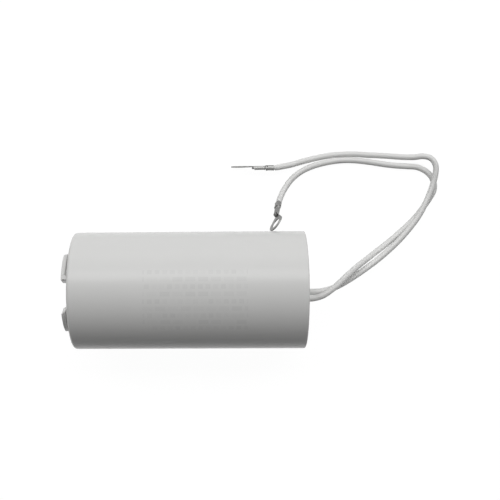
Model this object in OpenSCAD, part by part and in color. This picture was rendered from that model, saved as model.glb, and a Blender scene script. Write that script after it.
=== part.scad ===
// Motor run capacitor, lying on its side with its two leads laid out beside it.
// The case axis runs along X: twist-lock base at -X, lid and leads at +X.
// The case rests on z = 0 and the origin is under the middle of its length.

/* [Case] */
// Outer diameter at the open end
case_d = 45; // [44:0.1:45]
// Length of the case without the lugs
case_len = 87.5; // [84:0.5:90]
// How much smaller the radius is at the base, the draft of the moulding
case_draft = 0.35; // [0.1:0.05:0.5]
// Thickness of the side wall
wall = 1.5; // [1.2:0.1:2]
// Thickness of the closed base
base_t = 2; // [1.5:0.1:3]
// Radius of the outer corner at the base
base_round = 1.2; // [0.6:0.1:2]
// Radius of the outer edge at the open end
rim_round = 0.5; // [0.2:0.1:0.6]

/* [Twist lock] */
// Number of lugs on the base
lug_count = 4; // [3:1:4]
// Angle that one lug takes up
lug_arc = 50; // [40:1:60]
// Angle of the first lug from straight up
lug_start = 15; // [0:1:30]
// Outer diameter over the lugs
lug_d = 31.6; // [28:0.1:34]
// How far the lugs stand out from the base
lug_h = 3; // [2.5:0.1:4]
// Panel thickness that the lugs clip behind
panel_t = 1.6; // [1:0.1:1.8]
// Angle of the stop wall at the end of a lug
stop_arc = 6; // [4:1:10]
// Lean of the ramp that starts a lug
ramp_angle = 35; // [15:5:45]

/* [Lid] */
// Thickness of the lid
lid_t = 2; // [1.5:0.1:3]
// Depth of the lid's outer face below the rim
lid_recess = 1.25; // [1:0.05:2]
// Height of the boss round the lead holes
boss_h = 1; // [0.5:0.1:1]
// Width of the boss
boss_w = 5.2; // [4.4:0.1:6]
// Depth of the groove round the lid
lid_groove = 0.6; // [0.3:0.1:1]

/* [Winding] */
// Diameter of the wound film roll
roll_d = 37; // [32:0.5:38]
// Length of the film roll
roll_len = 68; // [60:1:69]
// Outer diameter of the core tube
core_d = 9; // [8:0.5:12]
// Bore of the core tube
core_bore = 6.4; // [5.5:0.1:7]
// Thickness of the sprayed metal on each end of the roll
spray_t = 0.8; // [0.5:0.1:1.2]
// Diameter of a solder joint
solder_d = 5; // [4:0.5:6]

/* [Leads] */
// Diameter of the lead over its insulation
lead_d = 2.4; // [2:0.1:2.4]
// Diameter of the stranded conductor
strand_d = 0.75; // [0.6:0.05:0.8]

/* [Ring terminals] */
// Outer diameter of the ring
ring_d = 7.2; // [6.8:0.1:7.6]
// Hole for the screw
ring_hole = 4.3; // [3.7:0.1:4.5]
// Sheet thickness
sheet_t = 0.5; // [0.5:0.05:0.6]
// Whole length from the rear barrel to the tip
terminal_len = 17.4; // [17:0.1:19]
// Length of the rear barrel, which grips the insulation
grip_len = 3.1; // [2.8:0.1:3.2]
// Width of the rear barrel
grip_w = 3; // [2.8:0.1:3.4]
// Height of the rear barrel
grip_h = 2.2; // [2.2:0.1:2.6]
// Where the wire barrel starts
barrel_start = 3.8; // [3.8:0.1:4.2]
// Where the wire barrel ends
barrel_end = 8.6; // [8.4:0.1:9]
// Width of the wire barrel
barrel_w = 2.4; // [2.2:0.1:2.6]
// Height of the wire barrel
barrel_h = 1.65; // [1.65:0.05:1.9]

/* [Hidden] */
$fn = 96;
eps = 0.01;

axis_z = case_d / 2;
base_x = lug_h - (case_len + lug_h) / 2;
open_x = base_x + case_len;
rim_r = case_d / 2;
base_r = rim_r - case_draft;
lug_r = lug_d / 2;
lug_foot_r = lug_r - 2.2;
lug_in_r = lug_foot_r - 2.6;

lid_x = open_x - lid_recess;
lid_in_x = lid_x - lid_t;
lid_r = rim_r - wall + 0.3;
bore_r = lid_r - 0.6;
bore_base_r = bore_r - case_draft;
bore_len = lid_in_x - base_x - base_t;

roll_x = base_x + base_t + spray_t + 4.6;
core_len = roll_len + 2 * spray_t;
base_spray_x = roll_x - spray_t;
lid_spray_x = roll_x + roll_len;

lead_r = lead_d / 2;
exit_x = lid_x + boss_h;
exit_a = [exit_x, -1, axis_z - 1.3];
exit_b = [exit_x, -3.5, axis_z + 1.3];
hole_gap = exit_b - exit_a;

strand_r = strand_d / 2;

// Inside the case each lead goes on to one end of the roll: a to the end by the lid, and b
// through the core tube to the end by the base. The last part is bare and soldered down.
inner_route_a = [
    exit_a, [41.5, -1, 21.2], [40.2, -1.6, 20.2], [39.3, -3, 18], [39, -4.6, 15.4]
];
bare_route_a = [
    [39, -4.6, 15.4], [38.6, -5.6, 13.8], [37.4, -6.2, 12.8], [36, -6.4, 12.5],
    [lid_spray_x + spray_t, -6.4, 12.5]
];
inner_route_b = [
    exit_b, [41.5, -3.5, 23.8], [39.9, -2.7, 23.5], [38.2, -0.8, 22.8], [36.4, 0, axis_z],
    [base_spray_x - 0.4, 0, axis_z]
];
bare_route_b = [
    [base_spray_x - 0.4, 0, axis_z], [-37.6, -0.8, 22.1], [-38.6, -2.8, 21], [-38.4, -5.2, 19.8],
    [-37.2, -6.8, 19], [base_spray_x, -6.8, 19]
];

// Underside of the tongue, axis of the strands, and where the gripped insulation stops
tongue_z = -0.85;
strand_z = tongue_z + sheet_t + strand_r + 0.05;
end_len = grip_len + 0.3;
ring_x = terminal_len - ring_d / 2;

// Route of each lead, from the lid to its terminal. They cross once near the lid, where b
// passes over a, and once on the surface, where a lies on b.
route_a = [
    exit_a, [48, -1, 21.2], [52, -0.8, 20.6], [56, 0.1, 18.4], [60, 1.6, 15],
    [64, 3.6, 11.6], [68, 5.9, 8.8], [72.5, 8.8, 6.6], [77, 12, 5.2], [81.5, 15.7, 4.4],
    [86, 19.9, 4], [90, 24.3, 3.8], [93.5, 28.8, 3.8], [96.4, 33.8, 3.8], [98.7, 38.8, 3.8],
    [100.3, 43.4, 4], [101.1, 47, 4.4], [101.1, 50.2, 4.6], [99.5, 52.9, 4.6], [96.6, 54, 4.2],
    [92.2, 53.8, 3], [87.4, 54.1, 1.8], [82.8, 54.5, 1.4], [78.2, 54.8, 1.3], [73.6, 55, 1.3],
    [69, 55.3, 1.3], [64.4, 55.3, 1.3], [59.8, 55, 1.3], [55.2, 54.3, 1.3], [50.6, 53.3, 1.4],
    [46, 52.1, 1.8], [41.8, 50.8, 2.6], [38.2, 50, 3.4], [34.9, 49.5, 3.65]
];
route_b = [
    exit_b, [48, -3.5, 23.8], [52, -2.5, 23.7], [55.6, -0.3, 22.8], [59, 2.2, 20],
    [62.5, 5.1, 16.2], [66, 7.7, 12.2], [69.5, 10.2, 8.6], [73, 12.6, 5.6], [76.5, 15.1, 3.4],
    [80.5, 18, 1.9], [84.5, 21.2, 1.4], [88.6, 24.8, 1.3], [92.6, 28.6, 1.3], [96, 32.7, 1.3],
    [98.9, 36.7, 1.3], [101, 40.7, 1.3], [100.6, 44.9, 1.3], [98, 48.1, 1.3], [94.2, 49.9, 1.3],
    [89.8, 50.3, 1.3], [85.3, 50.6, 1.3], [80.8, 51.1, 1.3], [76.4, 51.8, 1.3], [72, 52.4, 1.3],
    [67.6, 52.8, 1.3], [63.2, 52.8, 1.3], [58.8, 52.3, 1.3], [54.4, 51.4, 1.3], [50.2, 50.1, 1.3],
    [46.4, 48.3, 1.3], [43.3, 46, 1.3], [40.8, 43.2, 1.4], [38.9, 40.2, 2], [37.5, 37.2, 3.7],
    [36.5, 34.6, 6.5]
];
// How each terminal lies: its roll, its pitch and the way that it points
terminal_turn_a = [-95.5, 0, 181];
terminal_turn_b = [64.5, -51, 255.5];

// ---- helpers ----

// Stands a shape made round Z on the case axis, with its z = 0 at the given x
module on_axis(x) {
    translate([x, 0, axis_z]) rotate([0, 90, 0]) children();
}

// Extrudes an outline given across the terminal along the terminal's length
module along(start, end) {
    translate([start, 0, 0]) rotate([90, 0, 90]) linear_extrude(end - start) children();
}

// A round-ended slot, given by its whole width and height
module slot(width, height) {
    square([width - height, height], center = true);
    for (side = [-1, 1]) translate([side * (width - height) / 2, 0]) circle(d = height);
}

function unit(v) = v / norm(v);

// Direction of a route at one of its points
function heading(p, i, first, last) =
    i == 0 ? first :
    i == len(p) - 1 ? last :
    unit(unit(p[i + 1] - p[i]) + unit(p[i] - p[i - 1]));

// A side vector squared up to a new direction, so that the tube doesn't twist
function squared(side, dir) = unit(side - (side * dir) * dir);

// A round tube swept along a route, with its end faces square to the two directions given
module tube(route, r, first, last, sides = 8) {
    count = len(route);
    dirs = [for (i = [0 : count - 1]) heading(route, i, first, last)];
    ups = [for (i = 0, up = squared([0, 0, 1], dirs[0]); i < count;
        i = i + 1, up = i < count ? squared(up, dirs[i]) : up) up];
    ring = [for (i = [0 : count - 1]) for (k = [0 : sides - 1])
        route[i] + r * (cos(360 * k / sides) * ups[i]
            + sin(360 * k / sides) * cross(dirs[i], ups[i]))];
    skin = [for (i = [0 : count - 2]) for (k = [0 : sides - 1]) for (half = [0, 1])
        let (a = i * sides + k, b = i * sides + (k + 1) % sides)
        half == 0 ? [a, a + sides, b] : [b, a + sides, b + sides]];
    start_cap = [[for (k = [0 : sides - 1]) k]];
    end_cap = [[for (k = [sides - 1 : -1 : 0]) (count - 1) * sides + k]];
    polyhedron(points = ring, faces = concat(start_cap, skin, end_cap), convexity = 8);
}

// ---- case ----

// Half section of the moulded case: x is the radius, y the distance from the base
module case_outline() {
    polygon([[0, 0], [base_r - base_round, 0], [base_r, base_round],
        [rim_r, case_len - rim_round], [rim_r - rim_round, case_len], [0, case_len]]);
    translate([base_r - base_round, base_round]) circle(base_round);
    translate([rim_r - rim_round, case_len - rim_round]) circle(rim_round);
}

// Half section of the bore, with the ledge that the lid sits on
module bore_outline() {
    ledge = lid_in_x - base_x;
    polygon([[0, base_t], [bore_base_r, base_t], [bore_r, ledge], [lid_r, ledge],
        [lid_r, case_len + 1], [0, case_len + 1]]);
}

// One twist-lock lug. A groove behind its lip takes the panel, up to a stop wall at one end,
// and the other end is a ramp.
module lug() {
    foot = 1;
    lip_chamfer = 0.4;
    difference() {
        rotate_extrude(angle = lug_arc)
            polygon([[lug_in_r, foot], [lug_r, foot], [lug_r, lip_chamfer - lug_h],
                [lug_r - lip_chamfer, -lug_h], [lug_in_r, -lug_h]]);
        rotate([0, 0, -5]) rotate_extrude(angle = lug_arc - stop_arc + 5)
            translate([lug_foot_r, -panel_t]) square([lug_r, panel_t + 2 * foot]);
        rotate([ramp_angle, 0, 0]) translate([0, -lug_r, -lug_r])
            cube([2 * lug_r, lug_r, 2 * lug_r]);
    }
}

module case() {
    color("whitesmoke") on_axis(base_x) union() {
        difference() {
            rotate_extrude() case_outline();
            rotate_extrude() bore_outline();
        }
        for (i = [0 : lug_count - 1])
            rotate([0, 0, 180 - lug_start - lug_arc + i * 360 / lug_count]) lug();
    }
}

// ---- lid ----

// Places a shape at each lead's hole, along the case axis
module at_exits() {
    for (place = [exit_a, exit_b]) translate([0, place[1], place[2]]) rotate([0, 90, 0]) children();
}

module lid() {
    middle = (exit_a + exit_b) / 2;
    color("gainsboro") difference() {
        union() {
            on_axis(lid_in_x) cylinder(r = lid_r, h = lid_t);
            translate([lid_x - eps, middle[1], middle[2]])
                rotate([atan2(hole_gap[2], hole_gap[1]), 0, 0]) rotate([90, 0, 90])
                linear_extrude(boss_h + eps) slot(norm(hole_gap) + boss_w, boss_w);
        }
        on_axis(lid_x - lid_groove) difference() {
            cylinder(r = lid_r - 1.4, h = 2);
            translate([0, 0, -1]) cylinder(r = lid_r - 2.4, h = 4);
        }
        at_exits() cylinder(r = lead_r, h = 2 * open_x);
    }
}

// ---- winding ----

module winding() {
    color("lightsteelblue") on_axis(roll_x) difference() {
        cylinder(d = roll_d, h = roll_len);
        translate([0, 0, -1]) cylinder(d = core_d, h = roll_len + 2);
    }
}

module winding_core() {
    color("ivory") on_axis(base_spray_x) difference() {
        cylinder(d = core_d, h = core_len);
        translate([0, 0, -1]) cylinder(d = core_bore, h = core_len + 2);
    }
}

// Metal sprayed on one end of the roll, which joins all the turns of one foil
module spray(x) {
    color("darkgray") on_axis(x) difference() {
        cylinder(d = roll_d - 1, h = spray_t);
        translate([0, 0, -1]) cylinder(d = core_d, h = spray_t + 2);
    }
}

module base_spray() {
    spray(base_spray_x);
}

module lid_spray() {
    spray(lid_spray_x);
}

// ---- leads inside the case ----

// The insulated wire inside the case and its bare end, which lands square on the spray
module inner_lead(route, bare_route, landing) {
    last = len(route) - 1;
    into = unit(route[last] - route[last - 1]);
    tube(route, lead_r, [-1, 0, 0], into);
    tube(bare_route, strand_r, into, landing);
}

module inner_lead_a() {
    color("white") inner_lead(inner_route_a, bare_route_a, [-1, 0, 0]);
}

module inner_lead_b() {
    color("white") inner_lead(inner_route_b, bare_route_b, [1, 0, 0]);
}

// Flat dome of solder where a bare wire lands, with a hole of the radius given for the wire
module solder_dome(hole_r) {
    rise = 1;
    dome_r = (rise * rise + solder_d * solder_d / 4) / (2 * rise);
    rotate_extrude() intersection() {
        translate([0, rise - dome_r]) circle(dome_r);
        translate([hole_r, 0]) square([solder_d, 2 * rise]);
    }
}

module at_landing_a() {
    translate(bare_route_a[len(bare_route_a) - 1]) rotate([0, 90, 0]) children();
}

module at_landing_b() {
    translate(bare_route_b[len(bare_route_b) - 1]) rotate([0, -90, 0]) children();
}

module solder_a() {
    color("silver") at_landing_a() solder_dome(strand_r);
}

module solder_b() {
    color("silver") at_landing_b() solder_dome(strand_r);
}

module resin_fill() {
    color("tan") difference() {
        on_axis(base_x) rotate_extrude() intersection() {
            bore_outline();
            square([case_d, lid_in_x - base_x]);
        }
        on_axis(roll_x) cylinder(d = roll_d, h = roll_len);
        on_axis(base_spray_x) cylinder(d = roll_d - 1, h = core_len);
        inner_lead_a();
        inner_lead_b();
        at_landing_a() solder_dome(0);
        at_landing_b() solder_dome(0);
    }
}

// ---- free leads ----

// Where a terminal points, from its pitch and its turn
function pointing(turn) =
    [cos(-turn[1]) * cos(turn[2]), cos(-turn[1]) * sin(turn[2]), sin(-turn[1])];

module lead_a() {
    color("white") tube(route_a, lead_r, [1, 0, 0], pointing(terminal_turn_a));
}

module lead_b() {
    color("white") tube(route_b, lead_r, [1, 0, 0], pointing(terminal_turn_b));
}

// ---- terminals ----
// Each is made along X from the end of its lead, with the lead's axis at z = 0 and its open
// barrels, folded shut, on the +Z side of the tongue.

module at_terminal_a() {
    translate(route_a[len(route_a) - 1]) rotate(terminal_turn_a) children();
}

module at_terminal_b() {
    translate(route_b[len(route_b) - 1]) rotate(terminal_turn_b) children();
}

// Flat ring with a hole for the screw, on a neck that widens from the barrel
module tongue() {
    neck = [[barrel_end - 1, 1.1], [barrel_end, 1.5], [ring_x - 2.8, 2.6], [ring_x, 2.6]];
    translate([0, 0, tongue_z]) difference() {
        linear_extrude(sheet_t) {
            translate([ring_x, 0]) circle(d = ring_d);
            polygon(concat(neck, [for (i = [3 : -1 : 0]) [neck[i][0], -neck[i][1]]]));
        }
        translate([ring_x, 0, -1]) cylinder(d = ring_hole, h = sheet_t + 2);
    }
}

// Sheet floor that steps up from the grip to the wire barrel
module web() {
    grip_z = -grip_h / 2;
    floor_line = [[grip_len - 0.4, grip_z], [end_len, grip_z], [barrel_start, tongue_z],
        [barrel_start + 0.4, tongue_z]];
    rotate([90, 0, 0]) linear_extrude(barrel_w - 0.5, center = true)
        polygon(concat(floor_line, [for (i = [3 : -1 : 0]) floor_line[i] + [0, sheet_t]]));
}

// Wire barrel: its two wings curl in and meet along the top, and its front edge leans back
module wire_barrel() {
    lobe_r = 0.7;
    base_h = 1.2;
    difference() {
        along(barrel_start, barrel_end) {
            translate([0, tongue_z + base_h / 2]) slot(barrel_w, base_h);
            for (side = [-1, 1])
                translate([side * (barrel_w / 2 - lobe_r), tongue_z + barrel_h - lobe_r]) circle(lobe_r);
        }
        translate([barrel_end, 0, tongue_z + sheet_t]) rotate([0, -40, 0])
            translate([0, -5, 0]) cube(10);
    }
}

// Rear barrel, closed round the insulation, with a seam where its wings meet
module grip() {
    difference() {
        along(0, grip_len) slot(grip_w, grip_h);
        along(-1, grip_len + 1) {
            slot(grip_w - 2 * sheet_t, grip_h - 2 * sheet_t);
            translate([0, grip_h / 2]) rotate(45) square(0.4, center = true);
        }
    }
}

module strands() {
    color("peru") translate([0, 0, strand_z]) rotate([0, 90, 0])
        cylinder(r = strand_r, h = barrel_end + 0.5);
}

module gripped_end() {
    color("white") difference() {
        along(0, end_len) slot(grip_w - 2 * sheet_t, grip_h - 2 * sheet_t);
        strands();
    }
}

module ring_terminal() {
    color("silver") {
        grip();
        web();
        tongue();
        difference() {
            wire_barrel();
            strands();
        }
    }
}

module gripped_end_a() {
    at_terminal_a() gripped_end();
}

module gripped_end_b() {
    at_terminal_b() gripped_end();
}

module strands_a() {
    at_terminal_a() strands();
}

module strands_b() {
    at_terminal_b() strands();
}

module ring_terminal_a() {
    at_terminal_a() ring_terminal();
}

module ring_terminal_b() {
    at_terminal_b() ring_terminal();
}

case();
lid();
resin_fill();
winding();
winding_core();
base_spray();
lid_spray();
inner_lead_a();
inner_lead_b();
solder_a();
solder_b();
lead_a();
lead_b();
gripped_end_a();
gripped_end_b();
strands_a();
strands_b();
ring_terminal_a();
ring_terminal_b();
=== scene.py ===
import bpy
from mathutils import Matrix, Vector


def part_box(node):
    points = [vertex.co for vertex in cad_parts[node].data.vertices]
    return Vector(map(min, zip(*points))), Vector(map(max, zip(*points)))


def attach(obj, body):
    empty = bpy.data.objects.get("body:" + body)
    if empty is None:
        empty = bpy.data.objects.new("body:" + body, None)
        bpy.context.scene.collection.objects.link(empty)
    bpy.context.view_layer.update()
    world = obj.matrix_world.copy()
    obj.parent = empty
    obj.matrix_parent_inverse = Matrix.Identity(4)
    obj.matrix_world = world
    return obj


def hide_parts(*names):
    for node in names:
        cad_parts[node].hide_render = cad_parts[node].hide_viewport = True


bl_info = {
    "name": "Motor Run Capacitor",
    "version": (1, 0, 0),
    "blender": (4, 5, 0),
    "location": "3D View > Sidebar > Capacitor",
    "description": "Makes a plastic-cased motor run capacitor with two leads and ring terminals",
    "category": "Object",
}

from math import atan2, cos, pi, radians, sin

import bmesh
import bpy
from mathutils import Euler, Matrix, Vector
from mathutils.geometry import interpolate_bezier

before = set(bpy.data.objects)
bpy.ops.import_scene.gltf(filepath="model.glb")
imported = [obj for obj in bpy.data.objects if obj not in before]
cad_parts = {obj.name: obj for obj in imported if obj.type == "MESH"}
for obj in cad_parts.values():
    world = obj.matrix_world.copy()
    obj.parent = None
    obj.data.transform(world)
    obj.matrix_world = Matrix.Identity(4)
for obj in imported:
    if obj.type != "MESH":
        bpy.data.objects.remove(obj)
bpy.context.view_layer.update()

MM = 0.001
BODY = "root"
CASE_LOW, CASE_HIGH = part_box("case")
LID_LOW, LID_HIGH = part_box("lid")
AXIS_Z = (CASE_LOW.z + CASE_HIGH.z) / 2
CASE_R = (CASE_HIGH.z - CASE_LOW.z) / 2

# Routes of the two leads in millimetres, from the lid to the terminals, as in the part's source
ROUTE_A = [
    (45, -1, 21.2), (48, -1, 21.2), (52, -0.8, 20.6), (56, 0.1, 18.4), (60, 1.6, 15),
    (64, 3.6, 11.6), (68, 5.9, 8.8), (72.5, 8.8, 6.6), (77, 12, 5.2), (81.5, 15.7, 4.4),
    (86, 19.9, 4), (90, 24.3, 3.8), (93.5, 28.8, 3.8), (96.4, 33.8, 3.8), (98.7, 38.8, 3.8),
    (100.3, 43.4, 4), (101.1, 47, 4.4), (101.1, 50.2, 4.6), (99.5, 52.9, 4.6), (96.6, 54, 4.2),
    (92.2, 53.8, 3), (87.4, 54.1, 1.8), (82.8, 54.5, 1.4), (78.2, 54.8, 1.3), (73.6, 55, 1.3),
    (69, 55.3, 1.3), (64.4, 55.3, 1.3), (59.8, 55, 1.3), (55.2, 54.3, 1.3), (50.6, 53.3, 1.4),
    (46, 52.1, 1.8), (41.8, 50.8, 2.6), (38.2, 50, 3.4), (34.9, 49.5, 3.65),
]
ROUTE_B = [
    (45, -3.5, 23.8), (48, -3.5, 23.8), (52, -2.5, 23.7), (55.6, -0.3, 22.8), (59, 2.2, 20),
    (62.5, 5.1, 16.2), (66, 7.7, 12.2), (69.5, 10.2, 8.6), (73, 12.6, 5.6), (76.5, 15.1, 3.4),
    (80.5, 18, 1.9), (84.5, 21.2, 1.4), (88.6, 24.8, 1.3), (92.6, 28.6, 1.3), (96, 32.7, 1.3),
    (98.9, 36.7, 1.3), (101, 40.7, 1.3), (100.6, 44.9, 1.3), (98, 48.1, 1.3), (94.2, 49.9, 1.3),
    (89.8, 50.3, 1.3), (85.3, 50.6, 1.3), (80.8, 51.1, 1.3), (76.4, 51.8, 1.3), (72, 52.4, 1.3),
    (67.6, 52.8, 1.3), (63.2, 52.8, 1.3), (58.8, 52.3, 1.3), (54.4, 51.4, 1.3), (50.2, 50.1, 1.3),
    (46.4, 48.3, 1.3), (43.3, 46, 1.3), (40.8, 43.2, 1.4), (38.9, 40.2, 2), (37.5, 37.2, 3.7),
    (36.5, 34.6, 6.5),
]
ROUTES = {"a": ROUTE_A, "b": ROUTE_B}
# Roll, pitch and turn of each terminal, in degrees
TERMINAL_TURN = {"a": (-95.5, 0, 181), "b": (64.5, -51, 255.5)}


# ---- what a user can change ----

class CapacitorSizes(bpy.types.PropertyGroup):
    lead_diameter: bpy.props.FloatProperty(
        name="Lead Diameter", description="Diameter of a lead over its insulation",
        default=2.4 * MM, unit="LENGTH",
    )
    strand_diameter: bpy.props.FloatProperty(
        name="Strand Diameter", description="Diameter of one wire of the stranded conductor",
        default=0.24 * MM, unit="LENGTH",
    )
    rim_rounding: bpy.props.FloatProperty(
        name="Rim Rounding", description="Radius of the case's edge at the open end",
        default=0.5 * MM, unit="LENGTH",
    )
    base_rounding: bpy.props.FloatProperty(
        name="Base Rounding", description="Radius of the case's edge at the base",
        default=1.2 * MM, unit="LENGTH",
    )


class CapacitorColours(bpy.types.PropertyGroup):
    case: bpy.props.FloatVectorProperty(
        name="Case", description="Colour of the moulded case", subtype="COLOR",
        size=3, min=0, max=1, default=(0.76, 0.76, 0.75),
    )
    print: bpy.props.FloatVectorProperty(
        name="Print", description="Colour of the faint bars printed on the case", subtype="COLOR",
        size=3, min=0, max=1, default=(0.5, 0.5, 0.5),
    )
    insulation: bpy.props.FloatVectorProperty(
        name="Insulation", description="Colour of the leads", subtype="COLOR",
        size=3, min=0, max=1, default=(0.8, 0.8, 0.79),
    )
    tin: bpy.props.FloatVectorProperty(
        name="Tin Plating", description="Colour of the terminals and strands", subtype="COLOR",
        size=3, min=0, max=1, default=(0.27, 0.27, 0.265),
    )


# ---- helpers for the leads ----

def at_terminal(side):
    """Places a shape made along X from the end of a lead."""
    turn = Euler([radians(a) for a in TERMINAL_TURN[side]], "XYZ")
    return Matrix.Translation(Vector(ROUTES[side][-1]) * MM) @ turn.to_matrix().to_4x4()


def lead_bends(side):
    """The lead's points, each with its handles before and after, in metres."""
    points = [Vector(place) * MM for place in ROUTES[side]]
    into_terminal = at_terminal(side).to_3x3() @ Vector((1, 0, 0))
    bends = []
    for i, point in enumerate(points):
        before = point - points[i - 1] if i else points[1] - point
        after = points[i + 1] - point if i + 1 < len(points) else before
        heading = (before.normalized() + after.normalized()).normalized()
        if i == 0:
            heading = Vector((1, 0, 0))
        elif i + 1 == len(points):
            heading = into_terminal
        back = point - heading * before.length / 3
        ahead = point + heading * after.length / 3
        bends.append((point, back, ahead))
    return bends


def lead_end(side, steps=40):
    """Points close together along the lead's last bend, from its end backwards."""
    (start, _, out), (end, back, _) = lead_bends(side)[-2:]
    return interpolate_bezier(start, out, back, end, steps)[::-1]


def before_end(side, distance):
    """The point of the lead's centre line that lies a distance back from its end."""
    places = lead_end(side)
    for near, far in zip(places, places[1:]):
        step = (far - near).length
        if distance <= step:
            return near.lerp(far, distance / step)
        distance -= step
    return places[-1]


# ---- helpers for meshes ----

def place_piece(name, data, replaced):
    """Makes a piece of a mesh or curve. It rides with the capacitor and stands for a CAD node."""
    piece = bpy.data.objects.new(name, data)
    bpy.context.scene.collection.objects.link(piece)
    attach(piece, BODY)
    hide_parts(replaced)
    return piece


def new_piece(name, bm, material, replaced):
    """Turns a bmesh into a smooth-shaded piece."""
    mesh = bpy.data.meshes.new(name)
    bm.to_mesh(mesh)
    bm.free()
    mesh.materials.append(material)
    mesh.shade_smooth()
    return place_piece(name, mesh, replaced)


def new_wire(name, radius, material, steps, round_steps):
    """An empty curve with a round section, for splines to be added to."""
    curve = bpy.data.curves.new(name, "CURVE")
    curve.dimensions = "3D"
    curve.resolution_u = steps
    curve.bevel_depth = radius
    curve.bevel_resolution = round_steps
    curve.use_fill_caps = True
    curve.materials.append(material)
    return curve


def join_part(bm, part):
    """Adds a finished part, as a closed shell of its own, to a piece's bmesh."""
    mesh = bpy.data.meshes.new("part")
    part.to_mesh(mesh)
    part.free()
    bm.from_mesh(mesh)
    bpy.data.meshes.remove(mesh)


def along_case(x):
    """Places a shape made round Z, with its z = 0 at x on the case axis."""
    return Matrix.Translation((x, 0, AXIS_Z)) @ Matrix.Rotation(pi / 2, 4, "Y")


def spun(bm, outline, steps):
    """Spins an outline of (radius, height) points once round Z."""
    corners = [bm.verts.new((r, 0, z)) for r, z in outline]
    edges = [bm.edges.new(pair) for pair in zip(corners, corners[1:])]
    bmesh.ops.spin(
        bm, geom=corners + edges, cent=(0, 0, 0), axis=(0, 0, 1), angle=2 * pi,
        steps=steps, use_merge=True, use_normal_flip=False, use_duplicate=False,
    )
    bmesh.ops.remove_doubles(bm, verts=bm.verts, dist=0.001 * MM)
    bmesh.ops.recalc_face_normals(bm, faces=bm.faces)


def round_edges(bm, edges, radius, segments=3):
    """Rounds some edges of a bmesh."""
    bmesh.ops.bevel(
        bm, geom=edges, offset=radius, offset_type="OFFSET", affect="EDGES",
        segments=segments, profile=0.5, material=-1, clamp_overlap=True,
    )


def arc(centre_r, centre_z, radius, start, end, steps=6):
    """Points of an arc in an outline, between two angles in degrees."""
    turns = [radians(start + (end - start) * i / steps) for i in range(steps + 1)]
    return [(centre_r + radius * cos(t), centre_z + radius * sin(t)) for t in turns]


def mark_sharp(piece, least=radians(40)):
    """Keeps the corners of a smooth-shaded piece crisp."""
    bm = bmesh.new()
    bm.from_mesh(piece.data)
    for edge in bm.edges:
        edge.smooth = not (edge.is_manifold and edge.calc_face_angle() > least)
    bm.to_mesh(piece.data)
    bm.free()


# ---- helpers for materials ----

GRAIN_DEPTH = 0.02 * MM


def add_node(tree, kind, **values):
    node = tree.nodes.new(kind)
    for name, value in values.items():
        setattr(node, name, value)
    return node


def calculate(tree, operation, first, second=None, third=None):
    """A Math node's output. Each input is a socket or a number."""
    node = add_node(tree, "ShaderNodeMath", operation=operation)
    for place, value in enumerate((first, second, third)):
        if isinstance(value, bpy.types.NodeSocket):
            tree.links.new(value, node.inputs[place])
        elif value is not None:
            node.inputs[place].default_value = value
    return node.outputs[0]


def blend_colours(tree, amount, first, second):
    node = add_node(tree, "ShaderNodeMix", data_type="RGBA")
    for place, value in ((0, amount), (6, first), (7, second)):
        if isinstance(value, bpy.types.NodeSocket):
            tree.links.new(value, node.inputs[place])
        elif place:
            node.inputs[place].default_value = (*value, 1)
        else:
            node.inputs[place].default_value = value
    return node.outputs[2]


def make_group(name, inputs, outputs):
    """A node group with named inputs, each with its default, and named outputs."""
    tree = bpy.data.node_groups.new(name, "ShaderNodeTree")
    for label, kind, default in inputs:
        socket = tree.interface.new_socket(label, in_out="INPUT", socket_type=kind)
        if default is not None:
            socket.default_value = default
    for label, kind in outputs:
        tree.interface.new_socket(label, in_out="OUTPUT", socket_type=kind)
    start = tree.nodes.new("NodeGroupInput")
    end = tree.nodes.new("NodeGroupOutput")
    return tree, start, end


def use_group(tree, group, coordinates, **values):
    node = add_node(tree, "ShaderNodeGroup", node_tree=group)
    tree.links.new(coordinates, node.inputs["Vector"])
    for label, value in values.items():
        node.inputs[label.replace("_", " ")].default_value = value
    return node


def surface_grain_group():
    """Fine unevenness of a moulded, drawn or plated surface, with a broad mottle over it."""
    tree, start, end = make_group(
        "Surface Grain",
        [("Vector", "NodeSocketVector", None), ("Grain Scale", "NodeSocketFloat", 2500.0),
         ("Mottle Scale", "NodeSocketFloat", 60.0)],
        [("Height", "NodeSocketFloat"), ("Mottle", "NodeSocketFloat")],
    )
    grain = add_node(tree, "ShaderNodeTexNoise")
    grain.inputs["Detail"].default_value = 3
    grain.inputs["Roughness"].default_value = 0.6
    mottle = add_node(tree, "ShaderNodeTexNoise")
    mottle.inputs["Detail"].default_value = 4
    mottle.inputs["Roughness"].default_value = 0.55
    for node, scale in ((grain, "Grain Scale"), (mottle, "Mottle Scale")):
        tree.links.new(start.outputs["Vector"], node.inputs["Vector"])
        tree.links.new(start.outputs[scale], node.inputs["Scale"])
    tree.links.new(grain.outputs["Fac"], end.inputs["Height"])
    tree.links.new(mottle.outputs["Fac"], end.inputs["Mottle"])
    return tree


def start_material(name, roughness, metallic=0.0):
    """A new material's tree, its Principled BSDF and its Object coordinates."""
    material = bpy.data.materials.new(name)
    material.use_nodes = True
    tree = material.node_tree
    shader = tree.nodes["Principled BSDF"]
    shader.inputs["Roughness"].default_value = roughness
    shader.inputs["Metallic"].default_value = metallic
    place = add_node(tree, "ShaderNodeTexCoord").outputs["Object"]
    return material, tree, shader, place


def add_bump(tree, shader, height, strength):
    bump = add_node(tree, "ShaderNodeBump")
    bump.inputs["Strength"].default_value = strength
    bump.inputs["Distance"].default_value = GRAIN_DEPTH
    tree.links.new(height, bump.inputs["Height"])
    tree.links.new(bump.outputs["Normal"], shader.inputs["Normal"])


def scaled(colour, factor):
    return tuple(min(1, c * factor) for c in colour)


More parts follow.
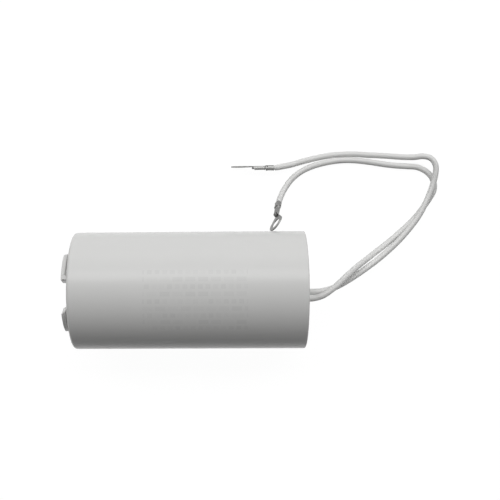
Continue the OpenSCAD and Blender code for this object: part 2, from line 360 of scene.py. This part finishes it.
def grained_material(name, group, colour, roughness, variation, grain, metallic=0.0):
    """One colour with a mottle of lighter and darker tones, uneven gloss and a fine grain."""
    material, tree, shader, place = start_material(name, roughness, metallic)
    surface = use_group(tree, group, place)
    mottle = surface.outputs["Mottle"]
    tone = blend_colours(tree, mottle, scaled(colour, 1 - variation), scaled(colour, 1 + variation))
    tree.links.new(tone, shader.inputs["Base Color"])
    gloss = calculate(tree, "MULTIPLY_ADD", mottle, 0.16, roughness - 0.08)
    tree.links.new(gloss, shader.inputs["Roughness"])
    add_bump(tree, shader, surface.outputs["Height"], grain)
    return material


def printed_bars(tree, place):
    """Mask of short plain bars in rows along the upper side of the case. They carry no lettering."""
    axes = add_node(tree, "ShaderNodeSeparateXYZ")
    tree.links.new(place, axes.inputs[0])
    height = calculate(tree, "SUBTRACT", axes.outputs["Z"], AXIS_Z)
    turn = calculate(tree, "ARCTAN2", axes.outputs["Y"], height)
    across = calculate(tree, "MULTIPLY", turn, CASE_R)
    flat = add_node(tree, "ShaderNodeCombineXYZ")
    tree.links.new(axes.outputs["X"], flat.inputs["X"])
    tree.links.new(across, flat.inputs["Y"])
    bars = add_node(
        tree, "ShaderNodeTexBrick", offset=0.37, offset_frequency=3, squash=0.6, squash_frequency=2,
    )
    bars.inputs["Color1"].default_value = (1, 1, 1, 1)
    bars.inputs["Color2"].default_value = (0.1, 0.1, 0.1, 1)
    bars.inputs["Mortar"].default_value = (0, 0, 0, 1)
    bars.inputs["Scale"].default_value = 1
    bars.inputs["Brick Width"].default_value = 4.6 * MM
    bars.inputs["Row Height"].default_value = 2.7 * MM
    bars.inputs["Mortar Size"].default_value = 0.55 * MM
    bars.inputs["Mortar Smooth"].default_value = 0.1
    bars.inputs["Bias"].default_value = -0.1
    tree.links.new(flat.outputs[0], bars.inputs["Vector"])
    mask = bars.outputs["Color"]
    for middle, half, value in (
        (4 * MM, 19 * MM, axes.outputs["X"]),
        (-4.5 * MM, 12 * MM, across),
    ):
        away = calculate(tree, "ABSOLUTE", calculate(tree, "SUBTRACT", value, middle))
        mask = calculate(tree, "MULTIPLY", mask, calculate(tree, "LESS_THAN", away, half))
    return mask


def tin_material(group, colours):
    """Dull tin plating, with darker stains and a drawn grain."""
    material, tree, shader, place = start_material("tin plating", 0.4, 1.0)
    surface = use_group(tree, group, place, Grain_Scale=3200.0, Mottle_Scale=500.0)
    mottle = surface.outputs["Mottle"]
    tin = tuple(colours.tin)
    tone = blend_colours(tree, mottle, scaled(tin, 0.72), scaled(tin, 1.25))
    tree.links.new(tone, shader.inputs["Base Color"])
    gloss = calculate(tree, "MULTIPLY_ADD", mottle, 0.3, 0.25)
    tree.links.new(gloss, shader.inputs["Roughness"])
    add_bump(tree, shader, surface.outputs["Height"], 0.15)
    return material


def case_material(group, colours):
    """Satin white plastic, with faint bars of print on the upper side."""
    material, tree, shader, place = start_material("case plastic", 0.26)
    shader.inputs["Specular IOR Level"].default_value = 0.25
    surface = use_group(tree, group, place, Grain_Scale=1800.0, Mottle_Scale=45.0)
    mottle = surface.outputs["Mottle"]
    tone = blend_colours(tree, mottle, scaled(colours.case, 0.985), scaled(colours.case, 1.015))
    mask = calculate(tree, "MULTIPLY", printed_bars(tree, place), 0.16)
    tree.links.new(blend_colours(tree, mask, tone, tuple(colours.print)), shader.inputs["Base Color"])
    gloss = calculate(tree, "MULTIPLY_ADD", mottle, 0.1, 0.2)
    tree.links.new(gloss, shader.inputs["Roughness"])
    add_bump(tree, shader, surface.outputs["Height"], 0.08)
    return material


# ---- the case ----

LUG_REACH = 3 * MM


class CAPACITOR_OT_case(bpy.types.Operator):
    """Moulds the case, with its twist-lock lugs"""
    bl_idname = "capacitor.case"
    bl_label = "Case"

    def execute(self, context):
        sizes = context.scene.capacitor_sizes
        base_x = CASE_LOW.x + LUG_REACH
        length = CASE_HIGH.x - base_x
        draft = 0.35 * MM
        base_t = 2 * MM
        ledge = LID_LOW.x - base_x
        lid_r = LID_HIGH.z - AXIS_Z
        bore_r = lid_r - 0.6 * MM
        base_r = CASE_R - draft
        corner = sizes.base_rounding
        rim = sizes.rim_rounding
        outline = [(0, 0)]
        outline += arc(base_r - corner, corner, corner, -90, 0)
        outline += arc(CASE_R - rim, length - rim, rim, 0, 90, 4)
        outline += [(lid_r, length), (lid_r, ledge), (bore_r, ledge)]
        outline += [(bore_r - draft, base_t), (0, base_t)]
        bm = bmesh.new()
        spun(bm, outline, steps=192)
        self.add_lugs(bm)
        bm.transform(along_case(base_x))
        material = case_material(bpy.data.node_groups["Surface Grain"], context.scene.capacitor_colours)
        piece = new_piece("case_moulding", bm, material, "case")
        mark_sharp(piece)
        return {"FINISHED"}

    def add_lugs(self, bm):
        """Four hooked lugs: a lip on a foot, with a sloped start and a full-depth stop at the end."""
        count, sweep, first = 4, radians(50), radians(15)
        outer_r = 15.8 * MM
        foot_r = outer_r - 2.2 * MM
        inner_r = foot_r - 2.6 * MM
        panel = 1.6 * MM
        root = 0.6 * MM
        stop = radians(6)
        lap = 0.02 * stop
        slope = radians(35)
        step = radians(4)
        sharp = radians(35)
        rounding = 0.18 * MM
        lip = [(inner_r, root), (foot_r, root), (foot_r, -panel), (outer_r, -panel),
               (outer_r, -LUG_REACH), (inner_r, -LUG_REACH)]
        block = [(inner_r, root), (outer_r, root), (outer_r, -LUG_REACH), (inner_r, -LUG_REACH)]
        for i in range(count):
            turn = pi - first - sweep + i * 2 * pi / count
            for outline, start, end in ((lip, 0, sweep - stop + lap), (block, sweep - stop, sweep)):
                part = bmesh.new()
                corners = [part.verts.new((r, 0, z)) for r, z in outline]
                face = part.faces.new(corners)
                part.transform(Matrix.Rotation(turn + start, 4, "Z"))
                bmesh.ops.spin(
                    part, geom=[face, *part.edges, *part.verts], cent=(0, 0, 0), axis=(0, 0, 1),
                    angle=end - start, steps=max(2, int((end - start) / step)),
                    use_merge=False, use_normal_flip=False, use_duplicate=False,
                )
                if start == 0:
                    lean = Matrix.Rotation(turn, 4, "Z") @ Matrix.Rotation(slope, 4, "X")
                    cut = bmesh.ops.bisect_plane(
                        part, geom=[*part.verts, *part.edges, *part.faces], dist=0.001 * MM,
                        plane_co=(0, 0, 0), plane_no=lean @ Vector((0, -1, 0)), clear_outer=True,
                    )
                    rim = [e for e in cut["geom_cut"] if isinstance(e, bmesh.types.BMEdge)]
                    bmesh.ops.contextual_create(part, geom=rim)
                bmesh.ops.recalc_face_normals(part, faces=part.faces)
                corners = [e for e in part.edges if e.is_manifold and e.calc_face_angle() > sharp]
                round_edges(part, corners, rounding, 2)
                join_part(bm, part)


# ---- the leads ----

# The end of a lead narrows over this length, to this share of its diameter, inside its gripped end
SQUEEZE_LENGTH = 1.5 * MM
SQUEEZE = 0.7


class CAPACITOR_OT_leads(bpy.types.Operator):
    """Lays out the two leads, from the lid to their terminals"""
    bl_idname = "capacitor.leads"
    bl_label = "Leads"

    def execute(self, context):
        diameter = context.scene.capacitor_sizes.lead_diameter
        material = grained_material(
            "lead insulation", bpy.data.node_groups["Surface Grain"],
            tuple(context.scene.capacitor_colours.insulation),
            roughness=0.42, variation=0.015, grain=0.05,
        )
        for side, route in ROUTES.items():
            curve = new_wire("lead_" + side, diameter / 2, material, 6, 8)
            line = curve.splines.new("BEZIER")
            line.bezier_points.add(len(route))
            squeeze = before_end(side, SQUEEZE_LENGTH)
            bends = lead_bends(side)
            ahead = (bends[-1][0] - squeeze).normalized() * SQUEEZE_LENGTH / 3
            bends.insert(-1, (squeeze, squeeze - ahead, squeeze + ahead))
            for point, (place, back, on) in zip(line.bezier_points, bends):
                point.co = place
                point.handle_left = back
                point.handle_right = on
            line.bezier_points[-1].radius = SQUEEZE
            place_piece("lead_insulation_" + side, curve, "lead_" + side)
        return {"FINISHED"}


class CAPACITOR_OT_cords(bpy.types.Operator):
    """An empty step: it makes and changes nothing"""
    bl_idname = "capacitor.cords"
    bl_label = "Cords"

    def execute(self, context):
        return {"FINISHED"}


# ---- the ring terminals ----

RING_X = 13.8
RING_R = 3.6
HOLE_R = 2.15
SHEET = 0.48
FLOOR_COLUMNS = 4

# Half sections of the crimped sheet's middle: (across, up) from the floor's centre line to the seam
GRIP_FORM = [
    (0, -0.85), (0.22, -0.85), (0.44, -0.84), (0.64, -0.81), (0.84, -0.74), (1.02, -0.6), (1.17, -0.38),
    (1.25, -0.1), (1.23, 0.22), (1.1, 0.5), (0.88, 0.72), (0.6, 0.83), (0.36, 0.84), (0.18, 0.74),
    (0.09, 0.55),
]
BARREL_FORM = [
    (0, -0.6), (0.2, -0.6), (0.4, -0.6), (0.58, -0.59), (0.74, -0.55), (0.87, -0.45), (0.94, -0.28),
    (0.97, -0.05), (0.95, 0.2), (0.86, 0.42), (0.68, 0.54), (0.48, 0.54), (0.3, 0.42), (0.16, 0.2),
    (0.1, -0.02),
]
FLOOR_FORM = [(0, 0), (0.2, 0), (0.4, 0.01), (0.6, 0.04), (0.78, 0.12)]
HALF_COLUMNS = len(GRIP_FORM) - 1

# Stations along the terminal: (length, form, bell-mouth scale)
STATIONS = [
    (0, "grip", 1.09), (0.3, "grip", 1.02), (0.9, "grip", 1.0), (1.6, "grip", 0.98), (2.3, "grip", 1.0),
    (2.8, "grip", 1.02), (3.1, "grip", 1.07), (3.45, "floor", -0.74), (3.8, "barrel", 1.1),
    (4.1, "barrel", 1.02), (4.5, "barrel", 0.98), (5.4, "barrel", 0.97), (6.4, "barrel", 0.97),
    (7.4, "barrel", 0.97), (8.0, "barrel", 0.98), (8.35, "barrel", 1.02), (8.6, "barrel", 1.08),
    (9.25, "neck", 0.3), (9.9, "neck", 0.62), (10.55, "neck", 0.86), (11.25, "neck", 1),
]
# Where the grip barrel ends, the wire barrel starts and ends, and the neck meets the ring
GRIP_END, BARREL_START, BARREL_END, NECK_END = 3.1, 3.8, 8.6, 11.25
TONGUE_Z = -0.6
BELL_MOUTH = 1.08
# Height from a barrel's floor to its seam, and how far the wings lean back on the way up
WING_HEIGHT = 1.4
GRIP_LEAN = 0.85
BARREL_LEAN_REAR, BARREL_LEAN_FRONT = 0.3, 0.95


def sheet_place(station, column):
    """Where a point of the flat blank goes when the terminal is formed."""
    x, form, value = STATIONS[station]
    side = -1 if column < 0 else 1
    step = abs(column)
    if form == "neck":
        turn = radians(180 - column * 45 / FLOOR_COLUMNS)
        ring_point = Vector((RING_X + RING_R * cos(turn), RING_R * sin(turn), TONGUE_Z))
        start = Vector((BARREL_END, side * BARREL_FORM[step][0] * BELL_MOUTH, TONGUE_Z))
        along = (x - BARREL_END) / (NECK_END - BARREL_END)
        across = ring_point - start
        return start + Vector((across.x * along, across.y * value, 0))
    if form == "floor":
        across, up = FLOOR_FORM[step]
        return (x, side * across, value + up)
    outline = GRIP_FORM if form == "grip" else BARREL_FORM
    low = outline[0][1]
    across, up = outline[step]
    height = (up - low) / WING_HEIGHT if step > FLOOR_COLUMNS else 0
    lean = 0
    if form == "barrel":
        along = (x - BARREL_START) / (BARREL_END - BARREL_START)
        lean = height * (BARREL_LEAN_REAR * (1 - along) + BARREL_LEAN_FRONT * along)
    elif step > FLOOR_COLUMNS:
        lean = GRIP_LEAN * x / GRIP_END * (1 - height)
    return (x - lean, side * across * value, low + (up - low) * value)


class CAPACITOR_OT_ring_terminals(bpy.types.Operator):
    """Stamps and crimps the ring terminal of each lead"""
    bl_idname = "capacitor.ring_terminals"
    bl_label = "Ring Terminals"

    def execute(self, context):
        material = tin_material(bpy.data.node_groups["Surface Grain"], context.scene.capacitor_colours)
        for side in ROUTES:
            bm = bmesh.new()
            self.form_sheet(bm)
            self.add_ring(bm)
            bmesh.ops.remove_doubles(bm, verts=bm.verts, dist=0.01)
            bmesh.ops.recalc_face_normals(bm, faces=bm.faces)
            bm.transform(at_terminal(side) @ Matrix.Scale(MM, 4))
            name = "crimped_ring_" + side
            piece = new_piece(name, bm, material, "ring_terminal_" + side)
            wall = piece.modifiers.new("sheet", "SOLIDIFY")
            wall.thickness = SHEET * MM
            wall.offset = 0
            wall.use_even_offset = True
            edges = piece.modifiers.new("edges", "BEVEL")
            edges.width = 0.07 * MM
            edges.segments = 2
            edges.limit_method = "ANGLE"
            edges.angle_limit = radians(50)
            edges.harden_normals = True
        return {"FINISHED"}

    def form_sheet(self, bm):
        """A grid with a row at each station, formed into the barrels, the step and the neck."""
        rows = len(STATIONS) - 1
        columns = 2 * HALF_COLUMNS
        bmesh.ops.create_grid(bm, x_segments=rows, y_segments=columns, size=0.5)
        spare = []
        for corner in bm.verts:
            station = round((corner.co.x + 0.5) * rows)
            column = round((corner.co.y + 0.5) * columns) - HALF_COLUMNS
            if STATIONS[station][1] in ("floor", "neck") and abs(column) > FLOOR_COLUMNS:
                spare.append(corner)
            else:
                corner.co = sheet_place(station, column)
        bmesh.ops.delete(bm, geom=spare, context="VERTS")

    def add_ring(self, bm):
        """The flat ring. Its edge shares points with the neck's last row."""
        steps = 32
        loops = []
        for radius in (HOLE_R, RING_R):
            made = bmesh.ops.create_circle(bm, segments=steps, radius=radius)
            bmesh.ops.translate(bm, verts=made["verts"], vec=(RING_X, 0, TONGUE_Z))
            loops += [e for e in bm.edges if all(v in made["verts"] for v in e.verts)]
        bmesh.ops.bridge_loops(bm, edges=loops)


class CAPACITOR_OT_gripped_ends(bpy.types.Operator):
    """Shapes the end of each lead's insulation, squeezed in the terminal"""
    bl_idname = "capacitor.gripped_ends"
    bl_label = "Gripped Ends"

    def execute(self, context):
        material = bpy.data.materials["lead insulation"]
        # (distance along the terminal, half width, half height). Behind 0 they follow the lead.
        sections = [
            (-1.7, 1.12, 1.12), (-1.4, 1.18, 1.18), (-1.1, 1.21, 1.19), (-0.8, 1.23, 1.14),
            (-0.5, 1.22, 1.05), (-0.2, 1.18, 0.9), (0.1, 1.1, 0.75), (0.4, 1.03, 0.66),
            (1.5, 1.0, 0.62), (2.5, 1.02, 0.64), (3.0, 1.07, 0.72), (3.25, 1.08, 0.76),
            (3.4, 1.02, 0.71), (3.42, 0.55, 0.42),
        ]
        for side in ROUTES:
            bm = bmesh.new()
            ring = bmesh.ops.create_circle(bm, segments=32, radius=1)["verts"]
            bmesh.ops.rotate(bm, verts=ring, matrix=Matrix.Rotation(pi / 2, 3, "Y"))
            edges = list(bm.edges)
            to_terminal = at_terminal(side).inverted()
            middle, wide, high = Vector((0, 0, 0)), 1, 1
            for place, (x, new_wide, new_high) in enumerate(sections):
                if place:
                    made = bmesh.ops.extrude_edge_only(bm, edges=edges)["geom"]
                    ring = [v for v in made if isinstance(v, bmesh.types.BMVert)]
                    edges = [e for e in made if isinstance(e, bmesh.types.BMEdge)]
                new_middle = Vector((x, 0, 0))
                if x < 0:
                    new_middle = to_terminal @ before_end(side, -x * MM) / MM
                for corner in ring:
                    off = corner.co - middle
                    off = Vector((0, off.y * new_wide / wide, off.z * new_high / high))
                    corner.co = new_middle + off
                middle, wide, high = new_middle, new_wide, new_high
            bmesh.ops.holes_fill(bm, edges=bm.edges, sides=0)
            bmesh.ops.recalc_face_normals(bm, faces=bm.faces)
            bm.transform(at_terminal(side) @ Matrix.Scale(MM, 4))
            name = "gripped_insulation_" + side
            piece = new_piece(name, bm, material, "gripped_end_" + side)
            mark_sharp(piece, radians(50))
        return {"FINISHED"}


WIRES = 7


class CAPACITOR_OT_strands(bpy.types.Operator):
    """Lays the wires of each stranded conductor in the terminal's barrel"""
    bl_idname = "capacitor.strands"
    bl_label = "Strands"

    def execute(self, context):
        sizes = context.scene.capacitor_sizes
        material = bpy.data.materials["tin plating"]
        for side in ROUTES:
            curve = new_wire("strands_" + side, sizes.strand_diameter / 2, material, 3, 2)
            for i in range(WIRES):
                line = curve.splines.new("BEZIER")
                self.lay_wire(line, i, at_terminal(side))
            place_piece("wire_strands_" + side, curve, "strands_" + side)
        return {"FINISHED"}

    def lay_wire(self, line, number, place):
        """One wire of the twisted bundle: the first runs in its middle and the others round it."""
        twist = 0.7
        pitch_r = 0.27 if number else 0
        bundle_z = 0.06
        ends = 8.75 + 0.25 * sin(2.3 * number)
        stations = (2.6, GRIP_END, 3.6, 4.2, 5.4, 6.8, 7.8, 8.3, ends)
        line.bezier_points.add(len(stations) - 1)
        for point, x in zip(line.bezier_points, stations):
            turn = 2 * pi * number / (WIRES - 1) + x * twist
            spread = 1 + 0.7 * min(1, max(0, (x - BARREL_START) / 0.8))
            spot = Vector((x, pitch_r * spread * cos(turn), bundle_z + pitch_r * sin(turn)))
            point.co = place @ (spot * MM)
            point.handle_left_type = "AUTO"
            point.handle_right_type = "AUTO"


# ---- the lid ----

class CAPACITOR_OT_lid(bpy.types.Operator):
    """Moulds the lid, with its groove and the boss that the leads come out of"""
    bl_idname = "capacitor.lid"
    bl_label = "Lid"

    def execute(self, context):
        lid_r = LID_HIGH.z - AXIS_Z
        boss_h = 1 * MM
        thickness = LID_HIGH.x - LID_LOW.x - boss_h
        groove = 0.6 * MM
        slope = 0.15 * MM
        outer, inner = lid_r - 1.4 * MM, lid_r - 2.4 * MM
        corner = 0.2 * MM
        bm = bmesh.new()
        spun(bm, [
            (0, 0), (lid_r, 0), *arc(lid_r - corner, thickness - corner, corner, 0, 90, 3),
            (outer + slope, thickness), (outer, thickness - slope), (outer, thickness - groove),
            (inner, thickness - groove), (inner, thickness - slope), (inner - slope, thickness),
            (0, thickness),
        ], steps=128)
        bm.transform(along_case(LID_LOW.x))
        self.add_boss(bm, LID_HIGH.x - boss_h, boss_h)
        material = grained_material(
            "lid plastic", bpy.data.node_groups["Surface Grain"],
            scaled(tuple(context.scene.capacitor_colours.case), 0.96),
            roughness=0.5, variation=0.02, grain=0.25,
        )
        piece = new_piece("lid_moulding", bm, material, "lid")
        mark_sharp(piece)
        return {"FINISHED"}

    def add_boss(self, bm, face_x, height):
        """A round-ended boss, standing along the line between the two leads' holes."""
        exit_a, exit_b = (Vector(ROUTES[side][0]) * MM for side in "ab")
        gap = exit_b - exit_a
        boss_r = 2.6 * MM
        rounding = 0.3 * MM
        part = bmesh.new()
        made = bmesh.ops.create_circle(part, segments=48, radius=boss_r, cap_ends=True)
        for corner in made["verts"]:
            corner.co.x += gap.length / 2 * (1 if corner.co.x > 0 else -1)
        base = list(part.faces)
        raised = bmesh.ops.extrude_face_region(part, geom=base)["geom"]
        bmesh.ops.translate(
            part, verts=[v for v in raised if isinstance(v, bmesh.types.BMVert)], vec=(0, 0, height))
        bmesh.ops.recalc_face_normals(part, faces=part.faces)
        top = [e for e in part.edges if all(v.co.z > height / 2 for v in e.verts)]
        round_edges(part, top, rounding)
        upright = Matrix.Rotation(pi / 2, 4, "Y")
        turn = Matrix.Rotation(atan2(gap.z, gap.y) + pi / 2, 4, "X")
        middle = (exit_a + exit_b) / 2
        part.transform(Matrix.Translation((face_x, middle.y, middle.z)) @ turn @ upright)
        join_part(bm, part)


# ---- carried-over parts ----

class CAPACITOR_OT_inner_parts(bpy.types.Operator):
    """Gives the parts inside the case their finishes"""
    bl_idname = "capacitor.inner_parts"
    bl_label = "Inner Parts"

    def execute(self, context):
        grain = bpy.data.node_groups["Surface Grain"]
        # (colour, roughness, tone variation, grain strength, metallic)
        resin = grained_material("potting resin", grain, (0.62, 0.5, 0.32), 0.35, 0.06, 0.2)
        film = grained_material("film roll", grain, (0.66, 0.68, 0.72), 0.3, 0.05, 0.2)
        core = grained_material("core plastic", grain, (0.85, 0.84, 0.78), 0.5, 0.03, 0.2)
        zinc = grained_material("sprayed metal", grain, (0.55, 0.55, 0.56), 0.65, 0.12, 0.8, 1.0)
        solder = grained_material("solder", grain, (0.68, 0.68, 0.69), 0.3, 0.05, 0.2, 1.0)
        lead = bpy.data.materials["lead insulation"]
        finishes = {
            "resin_fill": resin, "winding": film, "winding_core": core, "base_spray": zinc,
            "lid_spray": zinc, "solder_a": solder, "solder_b": solder,
            "inner_lead_a": lead, "inner_lead_b": lead,
        }
        for name, material in finishes.items():
            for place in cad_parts[name].material_slots:
                place.material = material
        return {"FINISHED"}


# ---- the stage ----

def seen_directly(tree):
    """1 for camera, glossy and transmission rays, and 0 for those that light the object."""
    path = add_node(tree, "ShaderNodeLightPath")
    direct = calculate(tree, "MAXIMUM", path.outputs["Is Camera Ray"], path.outputs["Is Glossy Ray"])
    return calculate(tree, "MAXIMUM", direct, path.outputs["Is Transmission Ray"])


def soft_box(name, angle, width, watts, distance=1.2, length=2.6):
    """A long lamp over the case axis, leaning from straight up towards +Y by an angle."""
    lamp = bpy.data.lights.new(name, "AREA")
    lamp.shape = "RECTANGLE"
    lamp.size = length
    lamp.size_y = width
    lamp.energy = watts
    holder = bpy.data.objects.new(name, lamp)
    holder.rotation_euler = (-angle, 0, 0)
    away = Vector((0, sin(angle), cos(angle)))
    holder.location = Vector((0.02, 0, AXIS_Z)) + away * distance
    bpy.context.scene.collection.objects.link(holder)


class CAPACITOR_OT_stage(bpy.types.Operator):
    """Sets up the camera, the floor and the lights"""
    bl_idname = "capacitor.stage"
    bl_label = "Stage"

    def execute(self, context):
        scene = context.scene
        scene.view_settings.view_transform = "Standard"
        self.add_camera(scene)
        self.add_floor(scene)
        self.light_world(scene)
        soft_box("key light", radians(29), width=0.42, watts=13.8)
        soft_box("fill light", radians(60), width=0.9, watts=5.0)
        return {"FINISHED"}

    def add_camera(self, scene):
        lens = bpy.data.cameras.new("camera")
        lens.lens = 64.21
        lens.sensor_width = 36
        lens.clip_start = 0.01
        camera = bpy.data.objects.new("camera", lens)
        camera.location = (0.0142, 0.00163, 0.36511)
        camera.rotation_euler = (radians(2.283), radians(-1.699), radians(-0.328))
        scene.collection.objects.link(camera)
        scene.camera = camera

    def add_floor(self, scene):
        """A pale matt floor, which the camera and reflections see as white paper with a shadow."""
        bm = bmesh.new()
        bmesh.ops.create_grid(bm, x_segments=1, y_segments=1, size=3)
        mesh = bpy.data.meshes.new("floor")
        bm.to_mesh(mesh)
        bm.free()
        floor = bpy.data.objects.new("floor", mesh)
        scene.collection.objects.link(floor)
        tone, roughness, white_share, white_strength = 0.5, 0.9, 0.86, 1.13
        material = bpy.data.materials.new("floor paper")
        material.use_nodes = True
        tree = material.node_tree
        shader = tree.nodes["Principled BSDF"]
        shader.inputs["Base Color"].default_value = (tone, tone, tone, 1)
        shader.inputs["Roughness"].default_value = roughness
        glow = add_node(tree, "ShaderNodeEmission")
        glow.inputs["Strength"].default_value = white_strength
        mix = add_node(tree, "ShaderNodeMixShader")
        share = calculate(tree, "MULTIPLY", seen_directly(tree), white_share)
        tree.links.new(share, mix.inputs[0])
        tree.links.new(shader.outputs[0], mix.inputs[1])
        tree.links.new(glow.outputs[0], mix.inputs[2])
        tree.links.new(mix.outputs[0], tree.nodes["Material Output"].inputs["Surface"])
        mesh.materials.append(material)

    def light_world(self, scene):
        """White surroundings, which hardly light the object."""
        world = bpy.data.worlds.new("studio")
        world.use_nodes = True
        scene.world = world
        tree = world.node_tree
        ambient = 0.03
        strength = calculate(tree, "MULTIPLY_ADD", seen_directly(tree), 1 - ambient, ambient)
        tree.links.new(strength, tree.nodes["Background"].inputs["Strength"])
        tree.nodes["Background"].inputs["Color"].default_value = (1, 1, 1, 1)


# ---- panel and registration ----

class CAPACITOR_PT_panel(bpy.types.Panel):
    """Lists the capacitor's pieces and what can be changed on them"""
    bl_idname = "CAPACITOR_PT_panel"
    bl_label = "Motor Run Capacitor"
    bl_space_type = "VIEW_3D"
    bl_region_type = "UI"
    bl_category = "Capacitor"

    def draw(self, context):
        for group in (context.scene.capacitor_sizes, context.scene.capacitor_colours):
            box = self.layout.box()
            for name in group.__annotations__:
                box.prop(group, name)
        for step in STEPS:
            self.layout.operator(step.bl_idname)


STEPS = (
    CAPACITOR_OT_stage,
    CAPACITOR_OT_leads,
    CAPACITOR_OT_case,
    CAPACITOR_OT_lid,
    CAPACITOR_OT_ring_terminals,
    CAPACITOR_OT_gripped_ends,
    CAPACITOR_OT_strands,
    CAPACITOR_OT_cords,
    CAPACITOR_OT_inner_parts,
)
CLASSES = (CapacitorSizes, CapacitorColours, *STEPS, CAPACITOR_PT_panel)


def register():
    for cls in CLASSES:
        bpy.utils.register_class(cls)
    bpy.types.Scene.capacitor_sizes = bpy.props.PointerProperty(type=CapacitorSizes)
    bpy.types.Scene.capacitor_colours = bpy.props.PointerProperty(type=CapacitorColours)


def unregister():
    del bpy.types.Scene.capacitor_colours
    del bpy.types.Scene.capacitor_sizes
    for cls in reversed(CLASSES):
        bpy.utils.unregister_class(cls)


def main():
    register()
    surface_grain_group()
    for step in STEPS:
        group, name = step.bl_idname.split(".")
        getattr(getattr(bpy.ops, group), name)()


if __name__ == "__main__":
    main()
